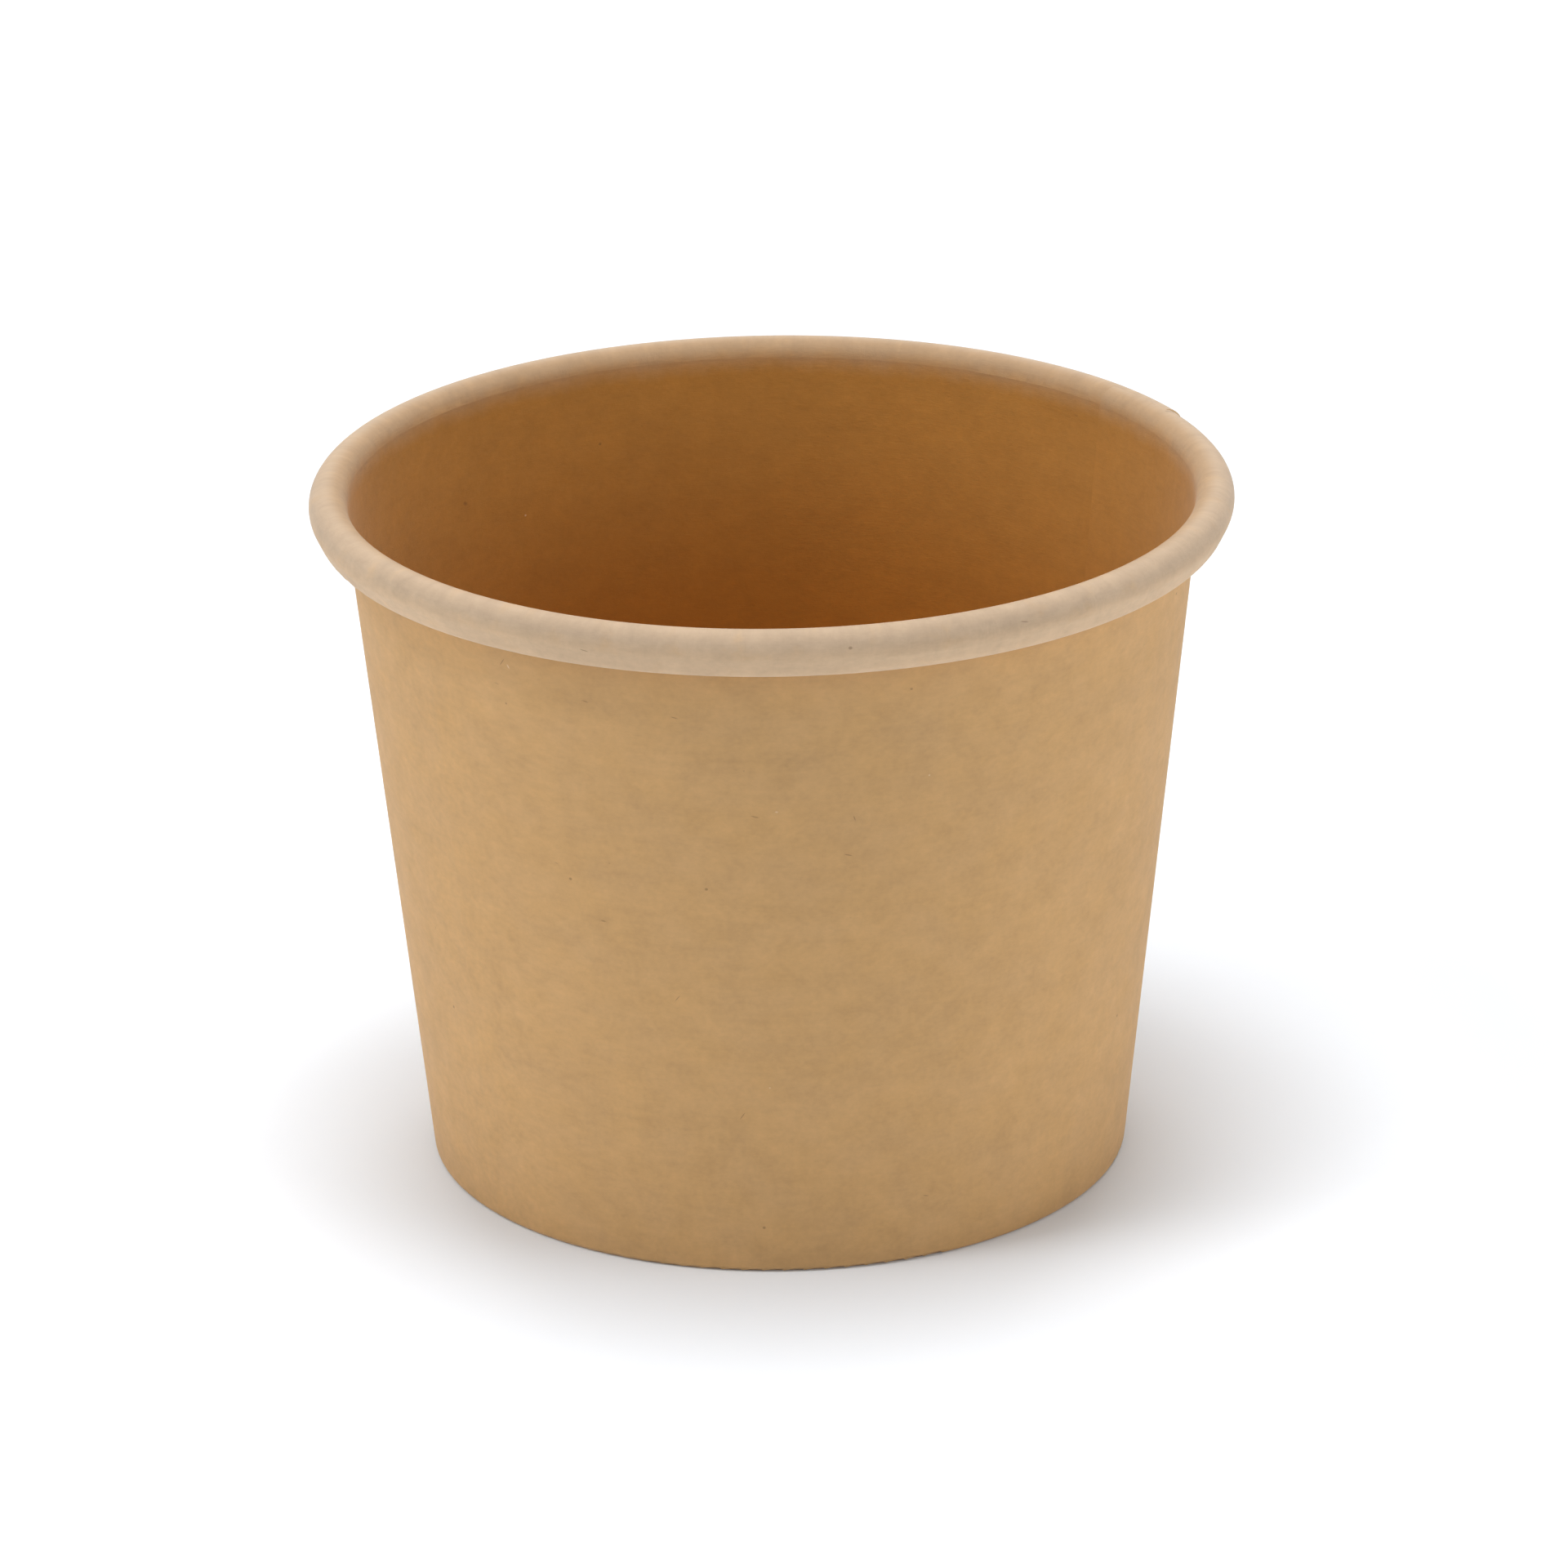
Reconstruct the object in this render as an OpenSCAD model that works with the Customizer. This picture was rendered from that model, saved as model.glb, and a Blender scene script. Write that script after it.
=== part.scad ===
// Paper portion cup: a conical kraft wall wrapped from one sheet, with a lapped side seam, a rim rolled
// outward and a hem at the foot that clamps the skirt of a pressed base disc.
// The origin is on the table under the middle of the cup, with +Z up.

/* [Cup] */
// Outer diameter of the rolled rim
rim_d = 70; // [62:0.5:86]
// Height from the table to the top of the rim
cup_h = 53.8; // [38:0.1:80]
// Outer diameter of the foot
foot_d = 53.8; // [44:0.1:60]

/* [Board] */
// Thickness of the side wall's board
wall_board = 0.3; // [0.24:0.01:0.36]
// Thickness of the base disc's board
disc_board = 0.3; // [0.2:0.01:0.4]

/* [Rim roll] */
// Width of the roll, from the inside of the wall to the outside of the roll
roll_w = 2.9; // [2.6:0.1:3.2]
// How much taller the roll is than wide
roll_stretch = 0.65; // [0.4:0.05:1.3]
// How far the roll's outer face slopes in towards its lower edge, in degrees
roll_taper = 26; // [0:1:30]
// Length of the board's edge that is tucked up inside the roll
tuck_length = 0.9; // [0.4:0.1:1.1]
// Clearance between the tucked edge and the wall
tuck_gap = 0.06; // [0.03:0.01:0.1]

/* [Side seam] */
// Width of the lap, measured round the middle of the wall
lap_w = 6; // [4:0.5:9]
// How far the two glued plies of the lap are pressed into each other
lap_press = 0.06; // [0.02:0.01:0.1]
// Where the inner raw edge of the seam stands, in degrees from +X
seam_azimuth = 37; // [0:1:359]

/* [Base] */
// Height of the cup's floor above the table
floor_h = 5.3; // [4.8:0.1:8]
// Height of the hem that is folded up inside the skirt
hem_h = 4; // [2.5:0.1:4]
// Inside radius of the folds at the foot
fold_r = 0.1; // [0.06:0.01:0.16]
// Inside radius of the bend between the floor and its skirt
skirt_bend_r = 0.4; // [0.3:0.05:0.8]
// Clearance between the skirt's lower edge and the fold at the foot
skirt_lift = 0.3; // [0.1:0.05:0.6]
// Clearance for the glue between the skirt and the wall, and between the skirt and the hem
glue_gap = 0.03; // [0.02:0.01:0.06]

/* [Hidden] */
$fn = 72;
wall_kraft = [0.72, 0.57, 0.39];
disc_kraft = [0.62, 0.45, 0.27];

// How far the outer ply of the lap stands out from the inner one
seam_step = wall_board - lap_press;

// Radii of the bends, measured at the middle of the board
fold_mid_r = fold_r + wall_board / 2;
roll_top_r = (roll_w - wall_board) / 2;
skirt_mid_r = skirt_bend_r + disc_board / 2;

// The wall is the line that leaves the foot's outer bend and runs into the roll's top bend, tangent to both
foot_centre = [foot_d / 2 - fold_r - wall_board, fold_r + wall_board];
roll_centre = [rim_d / 2 - roll_w / 2, cup_h - roll_w / 2];
rise = roll_centre - foot_centre;
rise_angle = atan2(rise.y, rise.x);
lean = acos((fold_mid_r + roll_top_r) / norm(rise)) - rise_angle;
wall_length = norm(rise) * sin(lean + rise_angle);

// The roll's flat face slopes in by the taper, and its bottom bend turns the edge up beside the wall. The
// bottom bend is so much smaller than the top one that the tucked edge stands off the wall by its clearance.
face_to_wall = roll_taper - lean;
tuck_offset = wall_board + tuck_gap;
bend_change = (tuck_offset * cos(roll_taper) + roll_stretch * sin(face_to_wall))
    / (cos(roll_taper) * (1 + cos(face_to_wall)) - (1 - sin(roll_taper)) * sin(face_to_wall));
roll_face = (roll_stretch + bend_change * (1 - sin(roll_taper))) / cos(roll_taper);
roll_bottom_r = roll_top_r - bend_change;

// The slot between wall and hem holds the skirt, the glue on both its sides and the step of the wrapped sheet
skirt_slot = disc_board + 2 * glue_gap + seam_step;
foot_flat = (wall_board + skirt_slot - 2 * fold_mid_r) / cos(lean);
foot_middle = foot_centre.x - foot_flat / 2;
hem_length = (hem_h - foot_centre.y - fold_mid_r * sin(lean)) / cos(lean);

// The skirt runs down the inside of the wall, parallel to it
skirt_centre_z = floor_h - disc_board / 2 - skirt_mid_r;
skirt_inset = wall_board / 2 + glue_gap + disc_board / 2 + skirt_mid_r - fold_mid_r;
floor_r = foot_centre.x + ((skirt_centre_z - foot_centre.y) * sin(lean) - skirt_inset) / cos(lean);
skirt_end_z = wall_board + skirt_lift;
skirt_length = (skirt_centre_z - skirt_mid_r * sin(lean) - skirt_end_z) / cos(lean);

// Size of the tie between two stretches of a section, as shares of the board's thickness
tie_width_share = 0.98;
tie_length_share = 0.06;

// The lap's angle is kept to a tenth of a degree, so that the turns on its two sides meet in one plane
wall_mid_d = (rim_d - 2 * roll_w + foot_d) / 2;
lap_angle = round(10 * 360 * lap_w / (PI * wall_mid_d)) / 10;

// A section of folded board is written as a chain of stretches. Each one starts at the origin heading
// along +Y, and carries the next one at its far end.
module straight(board, length) {
    translate([-board / 2, 0])
        square([board, length]);
    translate([0, length]) {
        if ($children > 0)
            tie(board);
        children();
    }
}

// A sliver inside the board, which makes two stretches one along the edge that they share
module tie(board) {
    square([board * tie_width_share, board * tie_length_share], center = true);
}

// One bend to the right, of less than a half turn, about a centre on the +X side
module right_bend(board, mid_r, angle) {
    reach = mid_r + board;
    translate([mid_r, 0]) {
        intersection() {
            difference() {
                circle(r = mid_r + board / 2);
                circle(r = mid_r - board / 2);
            }
            translate([-reach, 0])
                square([2 * reach, reach]);
            rotate(-angle)
                translate([-reach, -reach])
                    square([2 * reach, reach]);
        }
        rotate(-angle)
            translate([-mid_r, 0]) {
                tie(board);
                children();
            }
    }
}

// A bend of any size in two equal parts, to the right or, with a negative angle, to the left
module bend(board, mid_r, angle) {
    side = angle < 0 ? 1 : 0;
    mirror([side, 0])
        right_bend(board, mid_r, abs(angle) / 2)
            right_bend(board, mid_r, abs(angle) / 2)
                mirror([side, 0])
                    children();
}

// Section of one ply from the middle of the foot out, up the wall and round the rolled rim
module wall_ply() {
    translate([foot_middle, wall_board / 2])
        rotate(-90)
            straight(wall_board, foot_flat / 2)
                bend(wall_board, fold_mid_r, lean - 90)
                    straight(wall_board, wall_length)
                        bend(wall_board, roll_top_r, 180 + face_to_wall)
                            straight(wall_board, roll_face)
                                bend(wall_board, roll_bottom_r, 180 - face_to_wall)
                                    straight(wall_board, tuck_length);
}

// Section of the hem, from the middle of the foot inward and up inside the skirt
module hem_ply() {
    translate([foot_middle, wall_board / 2])
        rotate(90)
            straight(wall_board, foot_flat / 2)
                bend(wall_board, fold_mid_r, 90 + lean)
                    straight(wall_board, hem_length);
}

module wall_section() {
    wall_ply();
    hem_ply();
    translate([foot_middle, wall_board / 2])
        tie(wall_board);
}

// The sheet is wrapped as a spiral of two half turns. The second turns about an axis half a step to the
// side, so it ends one step outside the sheet's own start, and there the outer ply laps over the inner one.
// The outer ply has no hem: its lower corner is notched.
module side_wall() {
    color(wall_kraft)
        rotate(seam_azimuth)
            mirror([0, 1, 0]) {
                rotate_extrude(start = 0, angle = 180)
                    wall_section();
                translate([seam_step / 2, 0, 0])
                    rotate_extrude(start = 180, angle = 180)
                        translate([seam_step / 2, 0])
                            wall_section();
                rotate_extrude(start = 0, angle = lap_angle)
                    translate([seam_step, 0])
                        wall_ply();
            }
}

// The floor of the cup, pressed with a skirt that stands in the slot between wall and hem
module base_disc() {
    color(disc_kraft)
        rotate_extrude()
            translate([0, floor_h - disc_board / 2])
                rotate(-90)
                    straight(disc_board, floor_r)
                        bend(disc_board, skirt_mid_r, 90 + lean)
                            straight(disc_board, skirt_length);
}

side_wall();
base_disc();
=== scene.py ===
"""Looks of the paper portion cup: kraft board, a plain white floor, soft studio light and the camera."""
import math

import bpy
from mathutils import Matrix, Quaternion, Vector

MM = 0.001
PER_MM = 1000.0
WHITE = (1.0, 1.0, 1.0, 1.0)

# Sizes of the cup that the materials follow, in mm and degrees, as in the part's source
CUP_HEIGHT = 53.8
ROLL_BOTTOM = 50.25
WALL_RADIUS = 30.0          # mean radius, which turns an angle round the cup into a length on the sheet
SEAM_AZIMUTH = 37.0         # where the seam's raw edge stands inside the cup
LAP_ANGLE = 12.4            # the raw edge on the outside stands this much further round


# ---------------------------------------------------------------- node helpers

class Nodes:
    """The node tree of a material or a world. An input is a number, a tuple or another node's output."""

    def __init__(self, owner):
        owner.use_nodes = True
        self.owner = owner
        self.tree = owner.node_tree
        self.tree.nodes.clear()

    def node(self, kind, inputs=None, **settings):
        made = self.tree.nodes.new(kind)
        for key, value in settings.items():
            setattr(made, key, value)
        for key, value in (inputs or {}).items():
            self.feed(made.inputs[key], value)
        return made

    def feed(self, socket, value):
        if isinstance(value, bpy.types.NodeSocket):
            self.tree.links.new(value, socket)
        else:
            socket.default_value = value

    def math(self, operation, a, b=0.0):
        return self.node("ShaderNodeMath", {0: a, 1: b}, operation=operation).outputs[0]

    def product(self, a, b):
        return self.math("MULTIPLY", a, b)

    def largest(self, first, *others):
        for other in others:
            first = self.math("MAXIMUM", first, other)
        return first

    def weighed(self, *terms):
        """Sum of numbers, each given with its weight."""
        total = 0.0
        for value, weight in terms:
            inputs = {0: value, 1: weight, 2: total}
            total = self.node("ShaderNodeMath", inputs, operation="MULTIPLY_ADD").outputs[0]
        return total

    def ramp(self, value, low, high, to_low=0.0, to_high=1.0):
        """Smooth step of value between low and high."""
        made = self.node(
            "ShaderNodeMapRange",
            {"Value": value, "From Min": low, "From Max": high, "To Min": to_low, "To Max": to_high},
            interpolation_type="SMOOTHSTEP",
        )
        return made.outputs["Result"]

    def blend(self, factor, a, b):
        """a where factor is 0 and b where it is 1, for numbers."""
        return self.node("ShaderNodeMix", {0: factor, 2: a, 3: b}, data_type="FLOAT").outputs[0]

    def tint(self, factor, a, b, mode="MIX"):
        """Colour a, with b over it where factor is 1."""
        inputs = {0: factor, 6: a, 7: b}
        return self.node("ShaderNodeMix", inputs, data_type="RGBA", blend_type=mode).outputs[2]

    def vector_math(self, operation, a, b=(0.0, 0.0, 0.0), output="Vector"):
        return self.node("ShaderNodeVectorMath", {0: a, 1: b}, operation=operation).outputs[output]

    def scaled(self, colour, factor):
        """The colour times a number."""
        inputs = {0: colour, "Scale": factor}
        return self.node("ShaderNodeVectorMath", inputs, operation="SCALE").outputs["Vector"]

    def vector(self, x, y, z):
        return self.node("ShaderNodeCombineXYZ", {0: x, 1: y, 2: z}).outputs[0]

    def split(self, vector):
        return self.node("ShaderNodeSeparateXYZ", {0: vector}).outputs

    def dot(self, a, b):
        return self.vector_math("DOT_PRODUCT", a, b, "Value")

    def turned(self, vector, degrees):
        inputs = {"Vector": vector, "Angle": math.radians(degrees)}
        return self.node("ShaderNodeVectorRotate", inputs, rotation_type="Z_AXIS").outputs[0]

    def stretched(self, vector, x, y, z):
        """The vector in units of the given lengths, so that a noise of scale 1 has features that long."""
        return self.vector_math("MULTIPLY", vector, (1 / x, 1 / y, 1 / z))

    def noise(self, vector, size, detail=2.0, roughness=0.5, distortion=0.0):
        """Noise about 0, mostly between -1 and 1, with features of the given size along each axis."""
        made = self.node(
            "ShaderNodeTexNoise",
            {
                "Vector": self.stretched(vector, *size),
                "Scale": 1.0,
                "Detail": detail,
                "Roughness": roughness,
                "Distortion": distortion,
            },
        )
        centred = self.math("SUBTRACT", made.outputs[0], 0.5)
        return self.product(centred, 4.0)

    def fleck(self, vector, cell, size, share):
        """1 in small spots, one in each of a share of the cells, of the given size as a share of a cell."""
        inputs = {"Vector": self.stretched(vector, *cell), "Scale": 1.0}
        cells = self.node("ShaderNodeTexVoronoi", inputs, feature="F1")
        spot = self.ramp(cells.outputs["Distance"], size, size * 0.5)
        chosen = self.math("LESS_THAN", self.split(cells.outputs["Color"])[0], share)
        return self.product(spot, chosen)

    def output(self, kind, surface):
        """Shows the surface, and gives back the material or world."""
        self.node(kind, {"Surface": surface.outputs[0]})
        return self.owner


def linear(red, green, blue):
    """A colour written as 0 to 255 sRGB, in the linear values that a shader takes."""
    made = []
    for level in (red, green, blue):
        share = level / 255
        made.append(share / 12.92 if share <= 0.04045 else ((share + 0.055) / 1.055) ** 2.4)
    return (*made, 1.0)


# ---------------------------------------------------------------- materials

KRAFT = linear(209, 166, 113)
INSIDE_HIGH = linear(188, 134, 61)
# Painted shade: the inside's colour deep in the cup, darker and browner than near the top
INSIDE_SHADED_DEEP = linear(174, 115, 37)
# Painted light and shade on the roll: its outer face painted lighter and its crest painted darker
ROLL_FACE_PAINTED_LIGHT = linear(214, 183, 148)
ROLL_CREST_PAINTED_SHADE = linear(184, 160, 134)
ROLL_INNER = linear(173, 143, 110)
STRETCHED = linear(196, 152, 100)
RAW_EDGE = linear(228, 200, 160)
FIBRE = linear(92, 62, 34)
SPECK = linear(238, 214, 176)
YELLOWER = (1.0, 0.985, 0.93, 1.0)      # a colour times this is a little yellower

# Heights in mm at which one colour of the wall begins to pass into the next, and at which it has
# Painted shade inside the cup passes into the upper inside colour between these heights
SHADED_DEEP_TO_HIGH = (30.0, 47.0)
BOARD_TO_STRETCHED = (51.0, 52.7)
STRETCHED_TO_ROLL = (52.0, 53.5)
# Painted light on the roll's outer face passes into painted shade on its crest between these heights
LIT_FACE_TO_SHADED_CREST = (52.0, 53.2)
CREASES_BEGIN = (51.6, 52.5)
CREASES_END = (53.5, 53.0)

# A face is outside where its normal points away from the cup's axis by more than the first, and is a raw
# edge of the seam where it points round the cup by more than the second
OUTSIDE_ABOVE = -0.02
RAW_EDGE_ABOVE = 0.7
ROLL_MARGIN = 0.3           # mm below the roll's lower edge where the roll's colour may begin

# The board's finish
ROUGHNESS = (0.78, 0.92)
SPECULAR = 0.3
SHEEN = 0.12
SHEEN_ROUGHNESS = 0.5
BOARD_RELIEF = 0.006 * MM   # depth of the grain

# How strongly each kind of mark shows
FLECK_STRENGTH = 0.42
SPECK_STRENGTH = 0.5
DARK_MARK_STRENGTH = 0.4
PALE_MARK_STRENGTH = 0.6
# A painted shadow along the seam's outer raw edge, standing in for the shade at the seam's step
SEAM_SHADOW_STRENGTH = 0.25
SEAM_SHADOW_SPAN = (0.3, 0.05)     # mm from the outer raw edge at which its painted shadow begins, and at which it is full

# Marks that the photo shows, each with its azimuth in degrees, its run on the sheet, its half length and
# half width in mm, and its tilt from the line round the cup, in degrees
DARK_MARKS = (
    (139.9, 44.8, 0.34, 0.24, 30),
    (255.3, 84.6, 0.42, 0.06, -50),
    (280.7, 69.7, 0.30, 0.07, 70),
    (244.6, 78.9, 0.30, 0.08, 5),
)
PALE_MARKS = (
    (232.6, 59.4, 0.26, 0.10, 60),
    (270.1, 68.9, 0.16, 0.09, 0),
)


def angle_round(shader, place, jump):
    """The angle round the cup, whose jump between a half turn and minus one stands at the given azimuth."""
    at = shader.split(shader.turned(place, 180 - jump))
    return shader.math("ARCTAN2", at[1], at[0])


def sheet_coordinates(shader):
    """Where a point is on the sheet before it was wrapped, in mm, and which face and edge it is on.

    The sheet's second coordinate runs up the inside, over the top of the roll and down the outside.
    """
    place = shader.node("ShaderNodeTexCoord").outputs["Object"]
    x, y, z = shader.split(place)
    height = shader.product(z, PER_MM)
    squares = shader.math("ADD", shader.math("POWER", x, 2), shader.math("POWER", y, 2))
    radius = shader.math("SQRT", squares)
    across_x = shader.math("DIVIDE", x, radius)
    across_y = shader.math("DIVIDE", y, radius)
    radial = shader.vector(across_x, across_y, 0.0)
    along = shader.vector(across_y, shader.product(across_x, -1.0), 0.0)
    normal = shader.node("ShaderNodeNewGeometry").outputs["Normal"]
    facing_out = shader.dot(normal, radial)
    facing_along = shader.math("ABSOLUTE", shader.dot(normal, along))
    outside = shader.math("GREATER_THAN", facing_out, OUTSIDE_ABOVE)

    # The angle is one for both faces, but its jump lies on the seam's raw edge, which differs between them
    inner = angle_round(shader, place, SEAM_AZIMUTH)
    outer = angle_round(shader, place, SEAM_AZIMUTH - LAP_ANGLE)
    outer_from_inner = shader.math("SUBTRACT", outer, math.radians(LAP_ANGLE))
    angle = shader.blend(outside, inner, outer_from_inner)
    run = shader.blend(outside, height, shader.math("SUBTRACT", 2 * CUP_HEIGHT, height))
    to_seam = shader.math("SUBTRACT", math.pi, shader.math("ABSOLUTE", outer))
    return {
        "sheet": shader.vector(shader.product(angle, WALL_RADIUS), run, 0.0),
        "height": height,
        "facing_out": facing_out,
        "outside": outside,
        "raw_edge": shader.math("GREATER_THAN", facing_along, RAW_EDGE_ABOVE),
        "to_seam": shader.product(to_seam, WALL_RADIUS),
    }


def board_tone(shader, sheet):
    """How light the board is, about 1, and its relief: soft clouds, mottling, grain and lying fibres."""
    clouds = shader.noise(sheet, (9.0, 7.5, 6.0), detail=1.0)
    mottle = shader.noise(sheet, (2.3, 2.0, 2.0), roughness=0.6)
    grain = shader.noise(sheet, (0.6, 0.5, 0.6), detail=3.0, roughness=0.7)
    fibres = shader.noise(sheet, (1.1, 0.2, 0.6), roughness=0.6, distortion=1.2)
    tone = shader.weighed((clouds, 0.035), (mottle, 0.065), (grain, 0.055), (fibres, 0.02), (1.0, 1.0))
    relief = shader.weighed((grain, 0.6), (fibres, 0.4))
    return tone, relief


def drifting(shader, sheet, colour):
    """The colour with a slow drift to a yellower brown and back, and the drift."""
    drift = shader.noise(sheet, (4.6, 3.8, 2.0), detail=1.0)
    return shader.tint(shader.ramp(drift, -1.2, 1.2), colour, YELLOWER, "MULTIPLY"), drift


def over(shader, colour, mask, strength, mark):
    """The colour with a mark over it where the mask is 1."""
    return shader.tint(shader.product(mask, strength), colour, mark)


def with_flecks(shader, sheet, colour):
    """The colour with what lies in recycled kraft: hairs in two directions, dark bits and pale specks."""
    hairs = shader.fleck(shader.turned(sheet, 55), (9.0, 0.9, 3.0), 0.05, 0.12)
    lying = shader.fleck(shader.turned(sheet, -14), (7.0, 1.1, 3.0), 0.05, 0.10)
    bits = shader.fleck(sheet, (3.6, 3.2, 3.0), 0.045, 0.35)
    specks = shader.fleck(sheet, (4.3, 3.9, 2.6), 0.026, 0.3)
    colour = over(shader, colour, shader.largest(hairs, lying, bits), FLECK_STRENGTH, FIBRE)
    return over(shader, colour, specks, SPECK_STRENGTH, SPECK)


def drawn(shader, sheet, marks):
    """1 in the middle of each of the given marks, fading to 0 at its ends and sides."""
    total = 0.0
    for azimuth, run, length, width, tilt in marks:
        turn = (azimuth - SEAM_AZIMUTH) % 360 - 180
        middle = (math.radians(turn) * WALL_RADIUS, run, 0.0)
        off = shader.turned(shader.vector_math("SUBTRACT", sheet, middle), -tilt)
        reach = shader.vector_math("LENGTH", shader.stretched(off, length, width, 1.0), output="Value")
        total = shader.largest(total, shader.ramp(reach, 1.0, 0.2))
    return total


def board_surface(shader, colour, roughness, relief):
    """The finished material: relief is in units of the grain's depth."""
    bump = shader.node("ShaderNodeBump", {"Strength": 1.0, "Distance": BOARD_RELIEF, "Height": relief})
    surface = shader.node(
        "ShaderNodeBsdfPrincipled",
        {
            "Base Color": colour,
            "Roughness": roughness,
            "Specular IOR Level": SPECULAR,
            "Sheen Weight": SHEEN,
            "Sheen Roughness": SHEEN_ROUGHNESS,
            "Normal": bump.outputs[0],
        },
    )
    return shader.output("ShaderNodeOutputMaterial", surface)


def wall_material():
    """Kraft board of the wall: plain outside, browner inside with painted shade deep down, greyer and paler
    where it is rolled, with painted light and shade on the roll and a painted shadow at the seam.
    """
    shader = Nodes(bpy.data.materials.new("kraft_wall"))
    at = sheet_coordinates(shader)
    sheet, height, outside = at["sheet"], at["height"], at["outside"]
    tone, relief = board_tone(shader, sheet)

    # The wall, outside and inside; inside, painted shade makes it darker and browner towards the bottom
    inside = shader.tint(shader.ramp(height, *SHADED_DEEP_TO_HIGH), INSIDE_SHADED_DEEP, INSIDE_HIGH)
    colour, _ = drifting(shader, sheet, shader.tint(outside, inside, KRAFT))

    # The roll begins in a soft, uneven band inside the cup and ends sharply under its lower edge
    wander = shader.noise(sheet, (4.0, 50.0, 9.0), detail=3.0, roughness=0.6)
    patches = shader.noise(sheet, (1.3, 1.0, 2.0))
    fade_height = shader.weighed((height, 1.0), (wander, 0.3), (patches, 0.16))
    stretched = shader.tint(outside, STRETCHED, colour)
    colour = shader.tint(shader.ramp(fade_height, *BOARD_TO_STRETCHED), colour, stretched)
    on_roll_inside = shader.ramp(fade_height, *STRETCHED_TO_ROLL)
    on_roll_outside = shader.math("GREATER_THAN", height, ROLL_BOTTOM - ROLL_MARGIN)
    on_roll = shader.blend(outside, on_roll_inside, on_roll_outside)

    # The roll's colour, with painted light on its outer face and painted shade on its crest, darker where
    # it faces the axis, with scuffs, soft pulls along its run and fine creases on its outer shoulder
    face = shader.tint(shader.ramp(height, *LIT_FACE_TO_SHADED_CREST), ROLL_FACE_PAINTED_LIGHT, ROLL_CREST_PAINTED_SHADE)
    roll = shader.tint(shader.ramp(at["facing_out"], -0.6, 0.3), ROLL_INNER, face)
    scuffs = shader.noise(sheet, (2.2, 2.0, 5.0), detail=3.0, roughness=0.6)
    roll = shader.tint(shader.ramp(scuffs, 0.1, 1.6, 0.0, 0.4), roll, KRAFT)
    pulls = shader.noise(sheet, (0.7, 2.6, 9.0), distortion=0.8)
    creased = shader.product(shader.ramp(height, *CREASES_BEGIN), shader.ramp(height, *CREASES_END))
    creased = shader.product(creased, shader.ramp(wander, -0.3, 0.9))
    creases = shader.product(shader.noise(sheet, (0.16, 0.7, 9.0), roughness=0.7), creased)
    roll_tone = shader.weighed((pulls, 0.02), (patches, 0.025), (creases, 0.05), (1.0, 1.0))
    colour = shader.tint(on_roll, colour, shader.scaled(roll, roll_tone))

    colour = with_flecks(shader, sheet, shader.scaled(colour, tone))
    colour = over(shader, colour, drawn(shader, sheet, DARK_MARKS), DARK_MARK_STRENGTH, FIBRE)
    colour = over(shader, colour, drawn(shader, sheet, PALE_MARKS), PALE_MARK_STRENGTH, SPECK)
    # Painted shadow along the seam's outer raw edge
    seam_shadow = shader.product(shader.ramp(at["to_seam"], *SEAM_SHADOW_SPAN), outside)
    colour = over(shader, colour, seam_shadow, SEAM_SHADOW_STRENGTH, FIBRE)
    colour = shader.tint(at["raw_edge"], colour, RAW_EDGE)
    roll_relief = shader.product(shader.weighed((pulls, 0.5), (creases, 1.5)), on_roll)
    roughness = shader.ramp(patches, -1.5, 1.5, *ROUGHNESS)
    return board_surface(shader, colour, roughness, shader.math("ADD", relief, roll_relief))


def disc_material():
    """Kraft board of the base disc, whose pattern lies flat across it."""
    shader = Nodes(bpy.data.materials.new("kraft_base"))
    place = shader.node("ShaderNodeTexCoord").outputs["Object"]
    flat = shader.stretched(place, MM, MM, MM)
    tone, relief = board_tone(shader, flat)
    facing_up = shader.split(shader.node("ShaderNodeNewGeometry").outputs["Normal"])[2]
    # The disc's top, the floor inside the cup, takes the inside's deep painted-shade colour; its underside
    # is plain kraft
    colour = shader.tint(shader.ramp(facing_up, -0.2, 0.2), KRAFT, INSIDE_SHADED_DEEP)
    colour, drift = drifting(shader, flat, colour)
    colour = with_flecks(shader, flat, shader.scaled(colour, tone))
    return board_surface(shader, colour, shader.ramp(drift, -1.5, 1.5, *ROUGHNESS), relief)


# ---------------------------------------------------------------- floor, world and light

FLOOR_WHITE = (0.785, 0.82, 0.865, 1.0)
FLOOR_LIFT = 0.085          # added for camera rays, so that the lit floor is white and its shadow stays
FLOOR_HALF = 3.0
WORLD_FILL = 0.04

# Each lamp's name, azimuth and elevation in degrees, distance and size in metres, and power in watts.
# Azimuth 0 stands behind the camera and 90 on the right.
LAMPS = (
    ("key", -62, 58, 1.2, 0.22, 2.71),
    ("left", -72, 25, 1.0, 0.7, 3.05),
    ("right", 72, 16, 1.0, 0.7, 3.65),
    ("back", 180, 40, 1.0, 0.8, 3.6),
    ("top", 0, 89, 1.0, 0.5, 8.5),
)


def seen_by_eye(shader):
    """1 for rays that show the background: straight from the camera, in a mirror or through glass."""
    path = shader.node("ShaderNodeLightPath").outputs
    return shader.largest(path["Is Camera Ray"], path["Is Glossy Ray"], path["Is Transmission Ray"])


def floor_material():
    shader = Nodes(bpy.data.materials.new("white_floor"))
    lit = shader.node("ShaderNodeBsdfDiffuse", {"Color": FLOOR_WHITE, "Roughness": 0.0})
    strength = shader.product(seen_by_eye(shader), FLOOR_LIFT)
    lift = shader.node("ShaderNodeEmission", {"Color": WHITE, "Strength": strength})
    both = shader.node("ShaderNodeAddShader", {0: lit.outputs[0], 1: lift.outputs[0]})
    return shader.output("ShaderNodeOutputMaterial", both)


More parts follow.
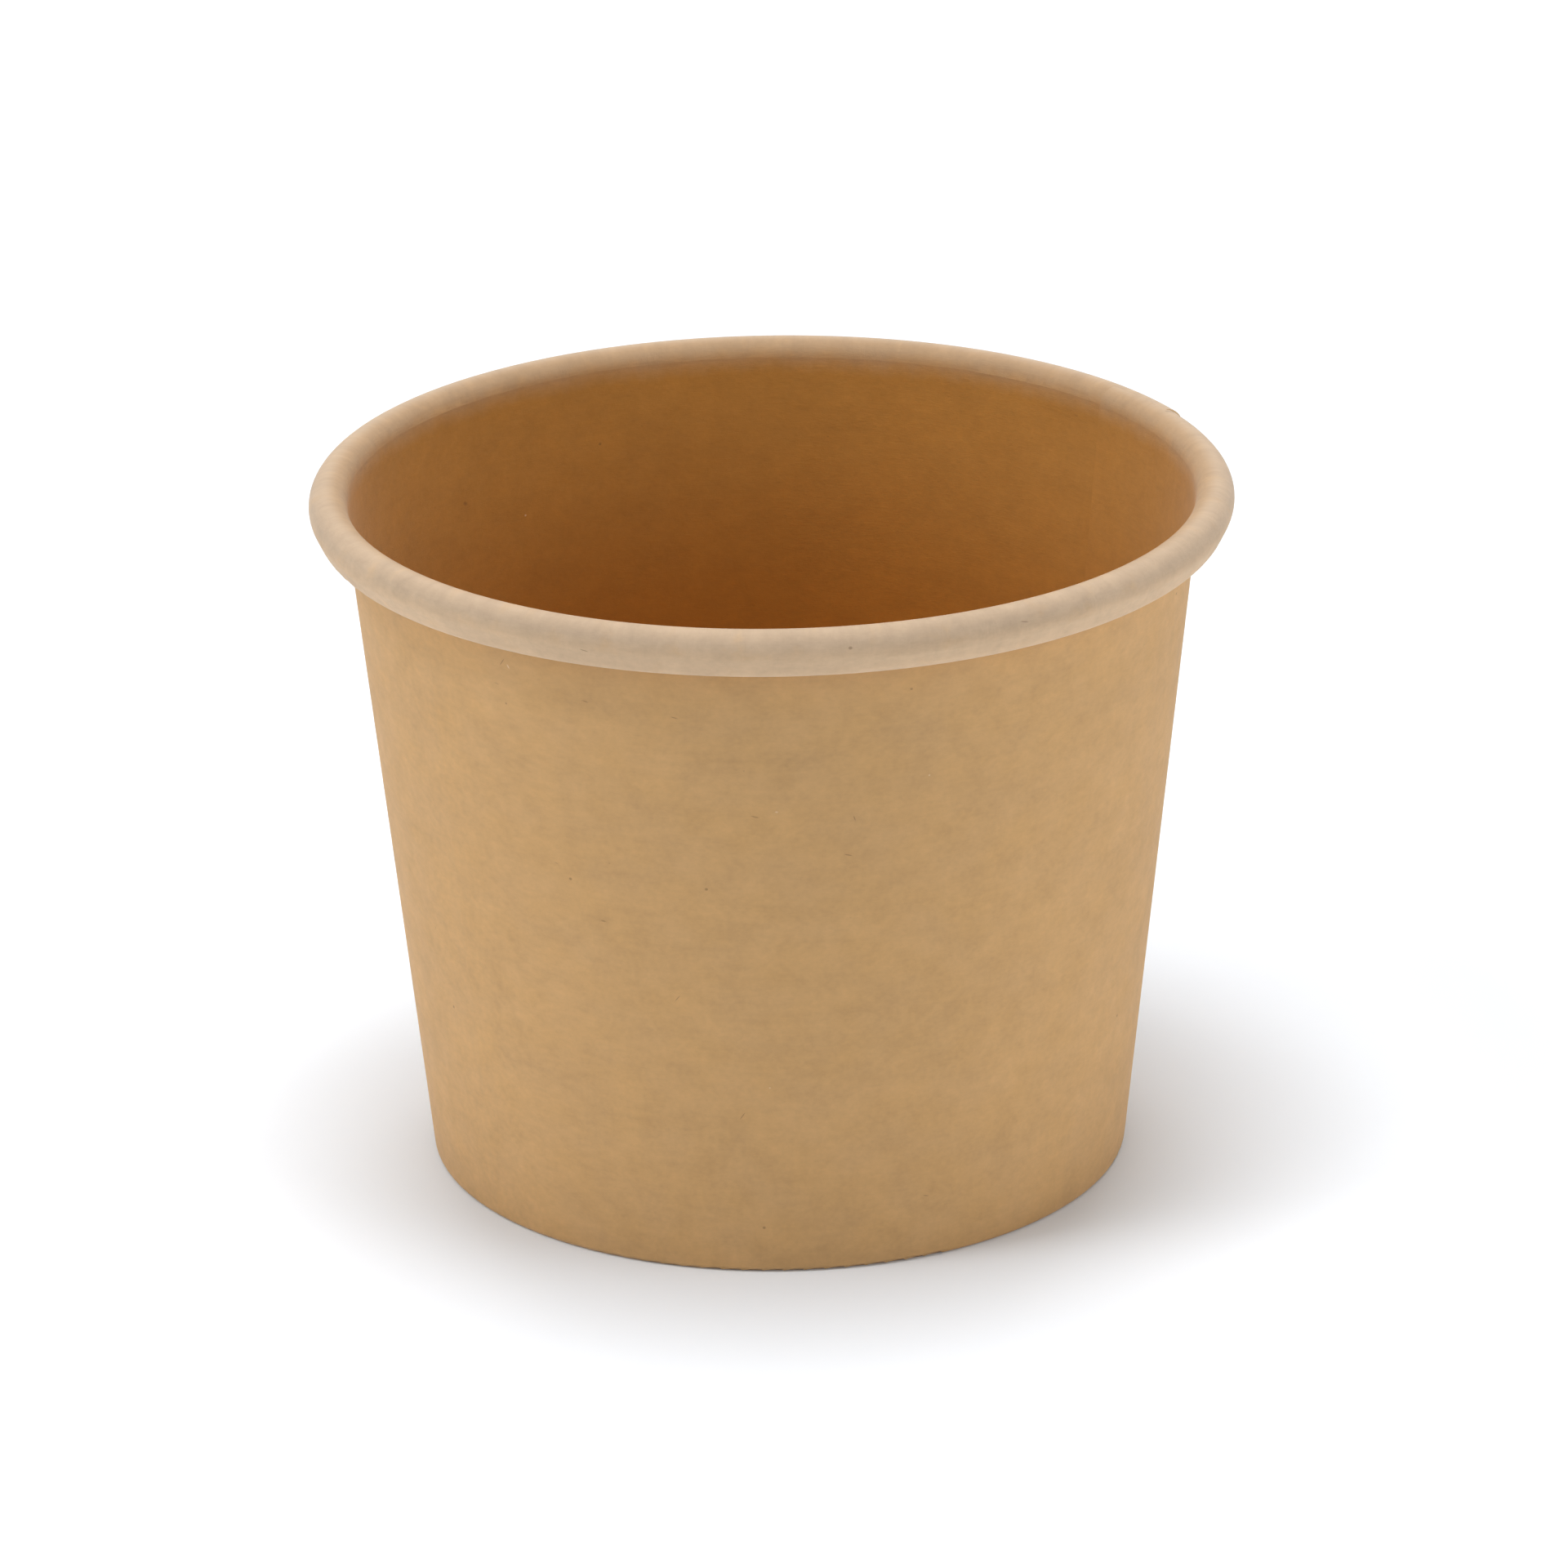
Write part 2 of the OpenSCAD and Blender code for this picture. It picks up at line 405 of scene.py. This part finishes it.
def make_floor():
    corners = [(-1, -1), (1, -1), (1, 1), (-1, 1)]
    mesh = bpy.data.meshes.new("floor")
    mesh.from_pydata([(x * FLOOR_HALF, y * FLOOR_HALF, 0) for x, y in corners], [], [(0, 1, 2, 3)])
    mesh.materials.append(floor_material())
    floor = bpy.data.objects.new("floor", mesh)
    bpy.context.scene.collection.objects.link(floor)


def make_world():
    """A weak even fill on the object, and plain white behind it."""
    shader = Nodes(bpy.data.worlds.new("tent"))
    fill = shader.node("ShaderNodeBackground", {"Color": WHITE, "Strength": WORLD_FILL})
    white = shader.node("ShaderNodeBackground", {"Color": WHITE, "Strength": 1.0})
    inputs = {0: seen_by_eye(shader), 1: fill.outputs[0], 2: white.outputs[0]}
    both = shader.node("ShaderNodeMixShader", inputs)
    bpy.context.scene.world = shader.output("ShaderNodeOutputWorld", both)


def make_lamps(target):
    """Square soft boxes that face the target."""
    for name, azimuth, elevation, distance, size, watts in LAMPS:
        light = bpy.data.lights.new(name, "AREA")
        light.shape = "SQUARE"
        light.size = size
        light.energy = watts
        lamp = bpy.data.objects.new(name, light)
        a, e = math.radians(azimuth), math.radians(elevation)
        away = Vector((math.sin(a) * math.cos(e), -math.cos(a) * math.cos(e), math.sin(e)))
        lamp.location = target + away * distance
        lamp.rotation_mode = "QUATERNION"
        lamp.rotation_quaternion = (-away).to_track_quat("-Z", "Y")
        bpy.context.scene.collection.objects.link(lamp)


# ---------------------------------------------------------------- camera

CAMERA_TARGET = Vector((0, 0, 0.027))
CAMERA_DISTANCE = 0.6255
CAMERA_ELEVATION = 21.545
CAMERA_ROLL = -0.73
CAMERA_LENS = 186.9
CAMERA_SENSOR = 36.0
CAMERA_CLIP = (0.05, 20.0)
AIM_RIGHT = 0.654 * MM      # the cup stands a little left of the picture's middle and below it
AIM_UP = 1.653 * MM


def make_camera():
    data = bpy.data.cameras.new("camera")
    data.sensor_width = CAMERA_SENSOR
    data.lens = CAMERA_LENS
    data.clip_start, data.clip_end = CAMERA_CLIP
    camera = bpy.data.objects.new("camera", data)
    e = math.radians(CAMERA_ELEVATION)
    back = Vector((0, -math.cos(e), math.sin(e)))
    right = Vector((1, 0, 0))
    up = Vector((0, math.sin(e), math.cos(e)))
    camera.location = CAMERA_TARGET + back * CAMERA_DISTANCE
    aim = CAMERA_TARGET + right * AIM_RIGHT + up * AIM_UP
    look = (aim - camera.location).to_track_quat("-Z", "Y")
    camera.rotation_mode = "QUATERNION"
    camera.rotation_quaternion = look @ Quaternion((0, 0, 1), math.radians(CAMERA_ROLL))
    bpy.context.scene.collection.objects.link(camera)
    bpy.context.scene.camera = camera


# ---------------------------------------------------------------- the scene

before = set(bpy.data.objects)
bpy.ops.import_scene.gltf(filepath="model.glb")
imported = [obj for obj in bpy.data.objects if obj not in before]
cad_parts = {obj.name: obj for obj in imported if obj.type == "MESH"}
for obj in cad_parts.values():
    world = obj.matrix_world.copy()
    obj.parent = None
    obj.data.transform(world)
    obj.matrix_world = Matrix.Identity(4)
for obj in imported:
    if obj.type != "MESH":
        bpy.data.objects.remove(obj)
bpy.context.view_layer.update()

for name, material in (("side_wall", wall_material()), ("base_disc", disc_material())):
    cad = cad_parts[name]
    cad.data.materials.clear()
    cad.data.materials.append(material)

make_camera()
make_floor()
make_world()
make_lamps(Vector((0, 0, CUP_HEIGHT / 2 * MM)))

bpy.context.scene.view_settings.view_transform = "Standard"
